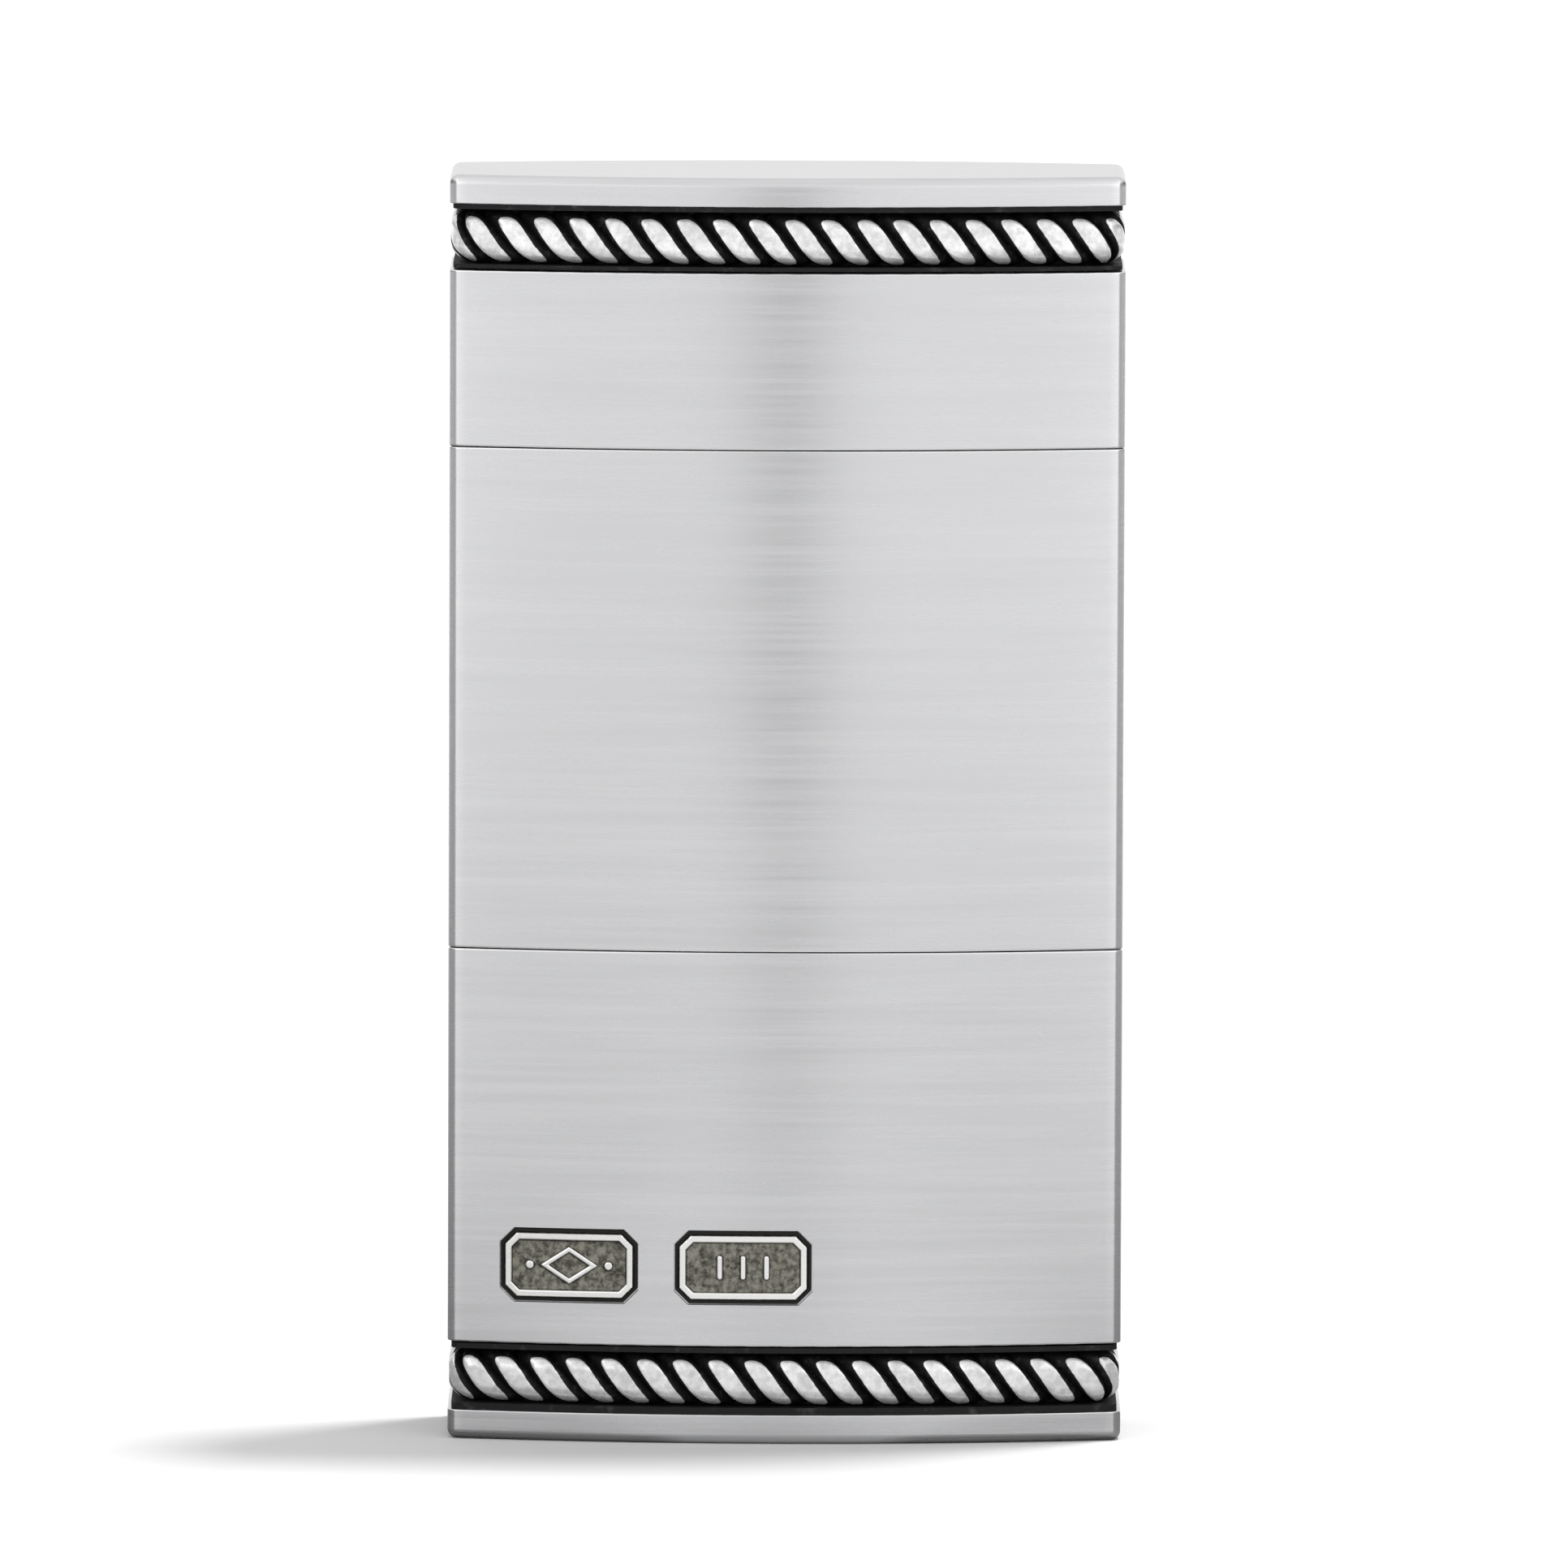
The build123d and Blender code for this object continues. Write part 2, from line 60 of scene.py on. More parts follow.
def case_outline(inset, corner, face_points=40, corner_points=9, side_points=5):
    """The case's outline drawn in by inset, an N by 2 loop that starts at the front's middle.

    A quarter is an arc about a centre behind the face, a small arc that leaves it smoothly and
    ends upright, and a straight side. The other three quarters mirror it.
    """
    radius = FACE_RADIUS - inset
    half = HALF_WIDTH - inset
    centre_y = FACE_RADIUS - HALF_DEPTH
    reach = np.sqrt((radius - corner) ** 2 - (half - corner) ** 2)
    turn = np.arctan2(half - corner, reach)
    along = np.linspace(0, turn, face_points)
    face = np.stack([radius * np.sin(along), centre_y - radius * np.cos(along)], 1)
    around = np.linspace(turn, np.pi / 2, corner_points)[1:]
    middle = np.array([half - corner, centre_y - reach])
    bend = middle + corner * np.stack([np.sin(around), -np.cos(around)], 1)
    level = np.linspace(centre_y - reach, 0, side_points)[1:]
    side = np.stack([np.full_like(level, half), level], 1)
    quarter = np.concatenate([face, bend, side])
    right = np.concatenate([quarter, quarter[-2::-1] * (1, -1)])
    return np.concatenate([right, right[-2:0:-1] * (-1, 1)])


def loop_stack(profile):
    """Outlines stacked as a K by N by 3 grid, one for each (inset, corner, level) of a profile."""
    lines = [(case_outline(inset, corner), level) for inset, corner, level in profile]
    return np.array([np.c_[line, np.full(len(line), level)] for line, level in lines])


def grid_faces(rows, columns, wrap_rows, wrap_columns):
    """Four-cornered faces over a grid of rows by columns points, joined end to end where asked."""
    r = np.arange(rows if wrap_rows else rows - 1)[:, None]
    c = np.arange(columns if wrap_columns else columns - 1)[None, :]
    r2, c2 = (r + 1) % rows, (c + 1) % columns
    corners = [r * columns + c, r * columns + c2, r2 * columns + c2, r2 * columns + c]
    return np.stack(corners, -1).reshape(-1, 4)


def capped_faces(rows, columns):
    """The faces of a stack of closed loops, with a flat face over the first and the last loop."""
    first = list(range(columns))[::-1]
    last = list(range((rows - 1) * columns, rows * columns))
    return [*grid_faces(rows, columns, False, True).tolist(), first, last]


def new_piece(name, points, faces, sharp=SHARP):
    """A mesh object with smooth shading, kept sharp where its faces meet at more than an angle."""
    mesh = bpy.data.meshes.new(name)
    mesh.from_pydata(points.reshape(-1, 3).tolist(), [], [list(f) for f in faces])
    mesh.validate()
    mesh.shade_smooth()
    mesh.set_sharp_from_angle(angle=np.radians(sharp))
    piece = bpy.data.objects.new(name, mesh)
    bpy.context.collection.objects.link(piece)
    return piece


def rounded_rim(level, radius, upward, steps=8):
    """Profile of a rounded edge, from the upright face in to the flat one, at constant radius."""
    turn = np.linspace(0, np.pi / 2, steps)
    inset = radius * (1 - np.cos(turn))
    height = level + upward * (radius * np.sin(turn) - radius)
    return [(i, max(CORNER - i, LEAST_CORNER), z) for i, z in zip(inset, height)]


def end_plate(name, low, high, round_top):
    """A plate of the case with one rim well rounded and the other barely broken."""
    rims = (PLATE_BREAK, PLATE_ROUND) if round_top else (PLATE_ROUND, PLATE_BREAK)
    bottom = rounded_rim(low, rims[0], -1)[::-1]
    top = rounded_rim(high, rims[1], 1)
    first, last = bottom[0], top[-1]
    profile = [(first[0] + HAIR, first[1], low), *bottom]
    profile += [(0, CORNER, low + rims[0] + HAIR), (0, CORNER, high - rims[1] - HAIR)]
    profile += [*top, (last[0] + HAIR, last[1], high)]
    grid = loop_stack(profile)
    return new_piece(name, grid, capped_faces(*grid.shape[:2]))


class Tone:
    """A socket of a material. Arithmetic on tones and numbers adds the material's Math nodes."""

    def __init__(self, tree, socket):
        self.tree, self.socket = tree, socket

    def node(self, kind, settings=None, inputs=None, output=0):
        """Adds a node, sets it up, feeds its inputs with numbers or tones, returns one output."""
        made = self.tree.nodes.new("ShaderNode" + kind)
        for name, value in (settings or {}).items():
            setattr(made, name, value)
        for name, value in (inputs or {}).items():
            if isinstance(value, Tone):
                self.tree.links.new(value.socket, made.inputs[name])
            else:
                made.inputs[name].default_value = value
        return Tone(self.tree, made.outputs[output])

    def math(self, operation, *others):
        return self.node("Math", {"operation": operation}, dict(enumerate((self, *others))))

    def __add__(self, other):
        return self.math("ADD", other)

    def __sub__(self, other):
        return self.math("SUBTRACT", other)

    def __rsub__(self, other):
        return self.node("Math", {"operation": "SUBTRACT"}, {0: other, 1: self})

    def __mul__(self, other):
        return self.math("MULTIPLY", other)

    __radd__, __rmul__ = __add__, __mul__

    def rise(self, low, high):
        """0 below low, 1 above high, and a smooth step between."""
        ends = {"Value": self, "From Min": low, "From Max": high}
        return self.node("MapRange", {"interpolation_type": "SMOOTHSTEP"}, ends)

    def part(self, axis):
        """One of a vector's three parts."""
        return self.node("SeparateXYZ", {}, {"Vector": self}, output=axis)

    def stretched(self, across, depth, up):
        """A place scaled by its own number along each axis."""
        return self.node("VectorMath", {"operation": "MULTIPLY"}, {0: self, 1: (across, depth, up)})

    def noise(self, scale, detail=2.0, roughness=0.5):
        """Smooth random tone about 0.5, with so many bumps to the metre."""
        inputs = {"Vector": self, "Scale": scale, "Detail": detail, "Roughness": roughness}
        return self.node("TexNoise", {}, inputs)

    def blend(self, first, second):
        """The first colour where this tone is 0 and the second where it is 1."""
        made = self.node("Mix", {"data_type": "RGBA"}, {"Factor": self}, output=2)
        for place, colour in ((6, first), (7, second)):
            socket = made.socket.node.inputs[place]
            if isinstance(colour, Tone):
                self.tree.links.new(colour.socket, socket)
            else:
                socket.default_value = (*colour, 1)
        return made


def new_finish(name, metallic=1.0, **constants):
    """A material with its shader's constants set, and the tone of its object coordinates."""
    material = bpy.data.materials.new(name)
    material.use_nodes = True
    tree = material.node_tree
    shader = tree.nodes["Principled BSDF"]
    shader.inputs["Metallic"].default_value = metallic
    for socket, value in constants.items():
        label = socket.replace("_", " ").title().replace("Ior", "IOR")
        shader.inputs[label].default_value = value
    place = Tone(tree, tree.nodes.new("ShaderNodeTexCoord").outputs["Object"])
    return material, shader, place


def feed(shader, **tones):
    """Links tones to the shader's sockets of the same names."""
    for socket, tone in tones.items():
        tone.tree.links.new(tone.socket, shader.inputs[socket.replace("_", " ").title()])


def bump(height, depth, strength=1.0):
    """The normal of a surface whose height, from 0 to 1, stands for so many metres."""
    inputs = {"Strength": strength, "Distance": depth, "Height": height}
    return height.node("Bump", {}, inputs)


FINE_LINES, FINE_DRAWN = 90, 45  # bumps to the metre along the brushing, times closer across it
BROAD_LINES, BROAD_DRAWN = 55, 22
CLOUDS = 70
SILVER_DULL = (0.60, 0.60, 0.612)
SILVER_BRIGHT = (0.80, 0.80, 0.812)
# Colour of the painted highlight on the slanting edges of the brushed silver.
SILVER_RIM_HIGHLIGHT = (0.90, 0.90, 0.905)


def brushed_silver(name, rim_highlight, **constants):
    """Sterling silver brushed round the case: long fine lines, a few broad ones and faint clouds.

    The lines are noise drawn out along X and Y and very fine along Z. On faces that lie flat,
    noise drawn out along X only takes their place. Slanting edges get a painted highlight, as
    much as the second argument asks.
    """
    made, shader, place = new_finish(name, **constants)
    normal = place.node("NewGeometry", output="Normal")
    tilt = normal.part("Z").math("ABSOLUTE")
    flat = tilt.rise(0.55, 0.9)
    # Painted highlight: slanting edges between upright and flat faces are painted brighter,
    # standing in for light caught on the rims.
    painted_rim_highlight = tilt.rise(0.1, 0.4) * (1 - tilt.rise(0.9, 0.98)) * rim_highlight
    fine_up = place.stretched(1, 1, FINE_DRAWN).noise(FINE_LINES)
    fine_flat = place.stretched(1, FINE_DRAWN, 1).noise(FINE_LINES)
    fine = fine_up * (1 - flat) + fine_flat * flat
    broad_up = place.stretched(1, 1, BROAD_DRAWN).noise(BROAD_LINES)
    broad_flat = place.stretched(1, BROAD_DRAWN, 1).noise(BROAD_LINES)
    broad = broad_up * (1 - flat) + broad_flat * flat
    clouds = place.noise(CLOUDS)
    bright = (fine - 0.5) * 0.22 + (broad - 0.5) * 0.20 + (clouds - 0.5) * 0.08 + 0.5
    brushed = bright.rise(0.2, 0.8).blend(SILVER_DULL, SILVER_BRIGHT)
    colour = painted_rim_highlight.blend(brushed, SILVER_RIM_HIGHLIGHT)
    rough = fine * 0.14 + broad * 0.06 + 0.17
    feed(shader, base_color=colour, roughness=rough, normal=bump(fine, 0.004 * MM, 0.35))
    return made


# The brushing smears reflections up and down on the upright faces. The flat faces lie level
# with the brush and get no such smear, nor does the rounded rim.
SMEAR = {"anisotropic": 0.85, "anisotropic_rotation": 0.25}
FLAT_FROM = 0.2  # the upright part of a face's normal from which it takes the flat finish
# The upright finish carries the full painted rim highlight, the flat finish none.
silver = brushed_silver("brushed_silver", 1.0, **SMEAR)
flat_silver = brushed_silver("brushed_silver_flat", 0.0)

for plate, body, round_top in (("foot_plate", "base", False), ("cap_plate", "head", True)):
    low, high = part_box(plate)
    piece = end_plate("silver_" + plate, low[2], high[2], round_top)
    piece.data.materials.append(silver)
    piece.data.materials.append(flat_silver)
    faces = piece.data.polygons
    normals = np.empty(3 * len(faces), np.float32)
    faces.foreach_get("normal", normals)
    faces.foreach_set("material_index", (np.abs(normals[2::3]) > FLAT_FROM).astype(np.int32))
    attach(piece, body)
    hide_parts(plate)

# ---------------------------------------------------------------- blackened cores
# Two solid silver blocks set in from the case's faces. They are blackened with sulphur, so the
# channels that hold the ropes read black, with a worn sheen where a cloth reaches.


def blackened_silver():
    """Black oxide on silver: nearly black, patchy, with worn grey spots."""
    made, shader, place = new_finish("blackened_silver", metallic=0.0, specular_ior_level=0.2)
    patches = place.noise(900, 4, 0.65)
    wear = patches.rise(0.55, 0.75)
    colour = wear.blend((0.012, 0.012, 0.013), (0.055, 0.055, 0.058))
    relief = bump(patches, 0.02 * MM, 0.5)
    feed(shader, base_color=colour, roughness=0.62 - wear * 0.2, normal=relief)
    return made


def finish_nodes(material, *nodes):
    """Puts one material on CAD nodes."""
    for node in nodes:
        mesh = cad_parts[node].data
        mesh.materials.clear()
        mesh.materials.append(material)


finish_nodes(blackened_silver(), "base_core", "head_core")

# ---------------------------------------------------------------- rope bands
# A rope of three silver wires laid round each channel. The wires are blackened, then their
# crests are burnished flat on a wheel, level with the case, which leaves bright leaves.

ROPE_RADIUS = 1.45 * MM
STRANDS = 3
STRAND_PITCH = 1.91 * MM  # from one strand to the next, along the rope
GROOVE_DEPTH = 0.55 * MM
GROOVE_POWER = 3.5
ROPE_INSET = -0.1 * MM
CREST_CORNER = 1.7 * MM  # corner radius of the line that the crests follow
AXIS_CORNER = 0.4 * MM  # corner radius of the rope's own middle line
LINE_POINTS = (400, 80, 60)  # along a quarter's face, corner and side
STRAND_POINTS = 26
SECTION_SPAN = 96  # degrees above and below the crest, past which the rope lies in the core
SECTION_POINTS = 61
ROPE_BACK = 0.14 * MM  # how far behind its middle line the rope is cut flat, inside the core
FLAT_CUT = 0.16 * MM  # thickness burnished off the crests
FLAT_BLEND = 0.03 * MM
LEAF_SHARE = 0.6  # share of a strand's width that is burnished bright
LEAF_REACH = 1.2 * MM  # how far above and below its own middle the burnishing reaches
LEAF_DROP = 0.14 * MM  # how far the burnishing's middle lies under the rope's
LEAF_EDGE = 1.5  # how sharply a leaf's brightness falls off


def rope_band(name, node, shift):
    """A twisted rope round the case: a scalloped section carried along the outline.

    Across a strand, the radius is the rope's own less the groove depth times t^3.5, where t runs
    from 0 on the crest to 1 in the groove. The strands turn once in three pitches along the path.
    The crests are pressed to a plane level with the case by a soft minimum. A leaf is bright
    where t over its share to the power 2.5, and height over its reach to the power 6, sum below 1.
    """
    low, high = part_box(node)
    level = (low[2] + high[2]) / 2
    outer = case_outline(ROPE_INSET, CREST_CORNER, *LINE_POINTS)
    inner = case_outline(ROPE_INSET + ROPE_RADIUS, AXIS_CORNER, *LINE_POINTS)
    outer, inner = np.vstack([outer, outer[:1]]), np.vstack([inner, inner[:1]])
    steps = np.linalg.norm(np.diff(outer, axis=0), axis=1)
    length = np.concatenate([[0], np.cumsum(steps)])
    crossings = round(length[-1] / STRAND_PITCH)
    along = np.linspace(0, length[-1], STRAND_POINTS * crossings, endpoint=False)
    tip, axis = (
        np.stack([np.interp(along, length, line[:, k]) for k in (0, 1)], 1)
        for line in (outer, inner)
    )
    angle = np.radians(np.linspace(-SECTION_SPAN, SECTION_SPAN, SECTION_POINTS))[None, :]
    twist = 2 * np.pi * (along / length[-1] * crossings + shift)[:, None] / STRANDS
    lay = np.mod(angle + twist, 2 * np.pi / STRANDS) * STRANDS / np.pi - 1
    radius = ROPE_RADIUS - GROOVE_DEPTH * np.abs(lay) ** GROOVE_POWER
    over = (radius * np.cos(angle) - (ROPE_RADIUS - FLAT_CUT)) / FLAT_BLEND
    pressed = ROPE_RADIUS - FLAT_CUT - FLAT_BLEND * np.log1p(np.exp(-over))
    height = radius * np.sin(angle)
    points = np.empty((len(along), SECTION_POINTS + 2, 3))
    outward = (tip - axis)[:, None]
    points[:, :-2, :2] = axis[:, None] + outward * (pressed / ROPE_RADIUS)[..., None]
    points[:, :-2, 2] = level + height
    points[:, -2:, :2] = axis[:, None] - outward * ROPE_BACK / ROPE_RADIUS
    points[:, -2:, 2] = points[:, [-3, 0], 2]
    faces = grid_faces(*points.shape[:2], True, True)[:, ::-1]
    piece = new_piece(name, points, faces, sharp=60)
    leaf = 1 - np.abs(lay / LEAF_SHARE) ** 2.5 - np.abs((height + LEAF_DROP) / LEAF_REACH) ** 6
    polish = np.zeros(points.shape[:2], np.float32)
    polish[:, :-2] = np.clip(0.5 + leaf * LEAF_EDGE, 0, 1)
    mark = piece.data.attributes.new("polish", "FLOAT", "POINT")
    mark.data.foreach_set("value", polish.ravel())
    return piece


def rope_silver():
    """Blackened wire with burnished crests: bright mottled silver, worn rims, black grooves."""
    made, shader, place = new_finish("rope_silver", metallic=0.6, specular_ior_level=0.3)
    polish = place.node("Attribute", {"attribute_name": "polish"}, output="Fac")
    grain = place.noise(2600, 4, 0.65)
    smudge = place.noise(900)
    bare = (polish + (grain - 0.5) * 0.5).rise(0.3, 0.6)
    mottled = (grain * 0.6 + smudge * 0.4).rise(0.35, 0.65)
    bright = mottled.blend((0.66, 0.66, 0.67), (0.97, 0.97, 0.975))
    oxide = grain.rise(0.5, 0.8).blend((0.010, 0.010, 0.011), (0.06, 0.06, 0.062))
    rough = (1 - bare) * 0.25 + 0.34 - mottled * 0.08
    colour = bare.blend(oxide, bright)
    feed(shader, base_color=colour, roughness=rough, normal=bump(grain, 0.008 * MM, 0.4))
    return made


# The shift is where the strands stand round the case, as a share of a pitch.
rope_finish = rope_silver()
for node, body, shift in (("base_rope", "base", 0.02), ("head_rope", "head", 0.99)):
    piece = rope_band("twisted_" + node, node, shift)
    piece.data.materials.append(rope_finish)
    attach(piece, body)
    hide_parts(node)

# ---------------------------------------------------------------- spindle, clips and screws
# The works stay as the CAD gives them: a turned and slotted brass spindle, blued spring clips in
# its grooves and bright steel screws under the foot.


def machined(name, dark, light, rough, grain, lines, stain, stained, **constants):
    """Bare metal with its tool marks: noise drawn out along the axes that grain leaves small.

    Where a slow second noise is high, the metal takes on up to so much of the stain's colour.
    """
    made, shader, place = new_finish(name, **constants)
    marks = place.stretched(*grain).noise(lines, 3, 0.6)
    spots = place.noise(260, 3, 0.6).rise(0.45, 0.8) * stained
    colour = spots.blend(marks.rise(0.3, 0.7).blend(dark, light), stain)
    rough = marks * 0.16 + spots * 0.2 + rough
    feed(shader, base_color=colour, roughness=rough, normal=bump(marks, 0.004 * MM))
    return made


turned_brass = machined(
    "turned_brass", dark=(0.50, 0.29, 0.07), light=(0.70, 0.45, 0.15), rough=0.22,
    grain=(1, 1, 45), lines=160, stain=(0.30, 0.16, 0.05), stained=0.5,
)
blued_steel = machined(
    "blued_steel", dark=(0.10, 0.12, 0.19), light=(0.20, 0.24, 0.34), rough=0.24,
    grain=(1, 12, 1), lines=500, stain=(0.30, 0.25, 0.22), stained=0.35,
)
screw_steel = machined(
    "screw_steel", dark=(0.50, 0.50, 0.51), light=(0.66, 0.66, 0.67), rough=0.22,
    grain=(1, 30, 1), lines=400, stain=(0.28, 0.27, 0.26), stained=0.4,
)
finish_nodes(turned_brass, "spindle")
finish_nodes(blued_steel, "ring_clips")
finish_nodes(screw_steel, "foot_screws", "spindle_screw")

# ---------------------------------------------------------------- ring shells
# Three lengths of lens-shaped silver tube, 0.8 mm thick. Their rims are broken just enough to
# catch the light, which draws a bright line on both sides of each hairline seam, and the rims
# carry a painted highlight that adds to that line.

WALL = 0.8 * MM
RIM = 0.08 * MM
RIM_PROUD = 0.055 * MM  # the burr that rubbing the rims raises, which narrows the seams
MARK_WIDTH = 7.3 * MM
MARK_HEIGHT = 3.9 * MM
MARK_CHAMFER = 0.75 * MM
MARK_THICK = 0.45 * MM
MARK_GAP = 0.06 * MM
CUTTER_PROUD = 0.5 * MM  # how far the pockets' cutter stands out of the front
CUTTER_GRID = (40, 8)


def face_y(x, inset):
    """How far forward the front face stands at x, drawn in by inset: its arc about a far centre."""
    centre_y = FACE_RADIUS - HALF_DEPTH
    return centre_y - np.sqrt((FACE_RADIUS - inset) ** 2 - x**2)


def mark_grid(grow, columns, rows):
    """Places x and z over an oblong with cut corners, and how far inside its outline they are.

    x runs evenly from side to side. z fills the oblong's height there, which falls off along
    the cut corners, so the grid's edge follows the outline.
    """
    half_w, half_h = MARK_WIDTH / 2 + grow, MARK_HEIGHT / 2 + grow
    x = np.linspace(-half_w, half_w, columns)[:, None]
    room = np.minimum(half_h, half_h + half_w - MARK_CHAMFER - np.abs(x))
    z = np.linspace(-1, 1, rows)[None, :] * room
    slope = (half_w + half_h - MARK_CHAMFER - np.abs(x) - np.abs(z)) / np.sqrt(2)
    inside = np.minimum(np.minimum(half_w - np.abs(x), half_h - np.abs(z)), slope)
    return np.broadcast_to(x, z.shape), z, inside


def slab(name, x, z, front, back):
    """A closed slab over a grid of x and z, between two insets of the front face."""
    sheets = [np.stack([x, face_y(x, inset), z], -1) for inset in (front, back)]
    columns, rows = x.shape
    front_faces = grid_faces(columns, rows, False, False)
    number = np.arange(columns * rows).reshape(columns, rows)
    rim = np.concatenate([number[:, 0], number[-1, 1:], number[-2::-1, -1], number[0, -2:0:-1]])
    ahead = np.roll(rim, -1)
    skirt = np.stack([rim, ahead, ahead + columns * rows, rim + columns * rows], -1)
    faces = np.concatenate([front_faces, front_faces[:, ::-1] + columns * rows, skirt[:, ::-1]])
    points = np.concatenate([sheet.reshape(-1, 3) for sheet in sheets])
    return new_piece(name, points, faces[:, ::-1])


def ring_shell(name, low, high):
    """A closed tube wall carried round the outline: outer face, rounded rims and inner face."""
    bottom = rounded_rim(low, RIM, -1, steps=4)[::-1]
    top = rounded_rim(high, RIM, 1, steps=4)
    profile = [(RIM + HAIR, CORNER, low), *bottom, (0, CORNER, low + RIM + HAIR)]
    profile += [(0, CORNER, high - RIM - HAIR), *top, (RIM + HAIR, CORNER, high)]
    profile += [(WALL, CORNER, high), (WALL, CORNER, low)]
    grid = loop_stack(profile)
    return new_piece(name, grid, grid_faces(*grid.shape[:2], True, True))


def cut(piece, cutter):
    """Takes the cutter's volume out of a piece, and throws the cutter away."""
    tool = piece.modifiers.new("pocket", "BOOLEAN")
    tool.operation, tool.solver, tool.object = "DIFFERENCE", "EXACT", cutter
    graph = bpy.context.evaluated_depsgraph_get()
    mesh = bpy.data.meshes.new_from_object(piece.evaluated_get(graph))
    piece.modifiers.clear()
    piece.data = mesh
    mesh.set_sharp_from_angle(angle=np.radians(SHARP))
    bpy.data.objects.remove(cutter)


mark_centres = {}
for side in ("left", "right"):
    low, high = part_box(side + "_mark_plate")
    mark_centres[side] = ((low[0] + high[0]) / 2, (low[2] + high[2]) / 2)

for ring in ("lower", "middle", "upper"):
    node = ring + "_ring_shell"
    low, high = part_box(node)
    piece = ring_shell("silver_" + node, low[2] - RIM_PROUD, high[2] + RIM_PROUD)
    piece.data.materials.append(silver)
    if ring == "lower":
        x, z = mark_grid(MARK_GAP, *CUTTER_GRID)[:2]
        for across, up in mark_centres.values():
            cut(piece, slab("pocket", x + across, z + up, -CUTTER_PROUD, MARK_THICK))
    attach(piece, ring + "_ring")
    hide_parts(node)

# ---------------------------------------------------------------- struck marks
# Two small plates let into the lower ring's front. Each is struck with a raised frame and a
# plain device, a lozenge between two pips or three upright bars, on a sunk and darkened field.

MARK_POINTS = (190, 110)
FIELD_SINK = 0.2 * MM
MARK_BEDDING = 0.02 * MM  # left under the plate in its pocket
FRAME_OUTSIDE = (0.16 * MM, 0.28 * MM)  # inside the outline, where the frame starts to rise
FRAME_INSIDE = (0.55 * MM, 0.67 * MM)  # and where it falls to the field
DEVICE_EDGE = 0.12 * MM
DEVICE_RISE = 0.85  # share of the frame's height
LOZENGE_SLANT = (0.55, 0.84)
LOZENGE_SIZE, LOZENGE_LINE = 0.72 * MM, 0.20 * MM
PIP_PLACE, PIP_RADIUS = 2.1 * MM, 0.30 * MM
BAR_SPACING, BAR_RADIUS, BAR_REACH = 1.25 * MM, 0.22 * MM, 0.5 * MM


def step(value, low, high):
    """Smooth step of an array from 0 at low to 1 at high."""
    t = np.clip((value - low) / (high - low), 0, 1)
    return t * t * (3 - 2 * t)


def lozenge_and_pips(x, z):
    """How far inside the lines of a hollow lozenge and two round pips, in metres."""
    slant = np.abs(x) * LOZENGE_SLANT[0] + np.abs(z) * LOZENGE_SLANT[1]
    ring = LOZENGE_LINE - np.abs(slant - LOZENGE_SIZE)
    pips = PIP_RADIUS - np.hypot(np.abs(x) - PIP_PLACE, z)
    return np.maximum(ring, pips)


def three_bars(x, z):
    """How far inside three upright bars with round ends, in metres."""
    nearest = np.clip(np.round(x / BAR_SPACING), -1, 1) * BAR_SPACING
    return BAR_RADIUS - np.hypot(x - nearest, np.maximum(np.abs(z) - BAR_REACH, 0))


def struck_mark(name, centre, device):
    """A plate whose front is a height over its outline: frame and device up, field down."""
    x, z, inside = mark_grid(0, *MARK_POINTS)
    risen = step(inside, *FRAME_OUTSIDE)
    frame_up = risen - step(inside, *FRAME_INSIDE)
    device_up = step(device(x, z), 0, DEVICE_EDGE) * DEVICE_RISE
    on_frame = inside < FRAME_INSIDE[0]
    raised = np.where(on_frame, frame_up, np.maximum(frame_up, device_up))
    sink, back = FIELD_SINK * (1 - raised), MARK_THICK - MARK_BEDDING
    piece = slab(name, x + centre[0], z + centre[1], sink, back)
    height = np.concatenate([(raised - (1 - risen)).ravel(), -np.ones(x.size)])
    mark = piece.data.attributes.new("raised", "FLOAT", "POINT")
    mark.data.foreach_set("value", height.astype(np.float32))
    return piece


def struck_silver():
    """Silver whose raised lines are bright and whose sunk field is dark grey-green and grainy."""
    made, shader, place = new_finish("struck_silver")
    raised = place.node("Attribute", {"attribute_name": "raised"}, output="Fac")
    grain = place.noise(3000, 4, 0.65)
    up = (raised + (grain - 0.5) * 0.3).rise(0.35, 0.85)
    rim = raised.rise(-0.7, -0.1)
    field = grain.rise(0.3, 0.7).blend((0.07, 0.067, 0.055), (0.34, 0.33, 0.28))
    edge = rim.blend((0.03, 0.03, 0.028), field)
    colour = up.blend(edge, (0.96, 0.955, 0.94))
    rough = 0.5 - up * 0.25
    feed(shader, base_color=colour, roughness=rough, normal=bump(grain, 0.012 * MM, 0.6))
    return made


struck = struck_silver()
for side, device in (("left", lozenge_and_pips), ("right", three_bars)):
    piece = struck_mark("struck_mark_" + side, mark_centres[side], device)
    piece.data.materials.append(struck)
    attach(piece, "lower_ring")
    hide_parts(side + "_mark_plate")

# ---------------------------------------------------------------- ring works
# Inside each ring: a guide plate below and a lock plate above, milled from brass, two posts
# between them, countersunk screws, and a leaf spring that clicks into the spindle's notches.

milled_brass = machined(
    "milled_brass", dark=(0.52, 0.31, 0.08), light=(0.66, 0.42, 0.14), rough=0.24,
    grain=(1, 30, 30), lines=220, stain=(0.34, 0.19, 0.06), stained=0.35,
)
for ring in ("lower", "middle", "upper"):
    finish_nodes(milled_brass, ring + "_guide_plate", ring + "_lock_plate")
    finish_nodes(turned_brass, ring + "_ring_posts")
    finish_nodes(screw_steel, ring + "_ring_screws", ring + "_spring_screw")
    finish_nodes(blued_steel, ring + "_detent_spring")

# ---------------------------------------------------------------- vial, tooth rail and seal
# The head carries a thin polished brass tube for the rolled message, a milled steel rail with
# one tooth under each lock plate, a rubber ring near its top, and two screws.

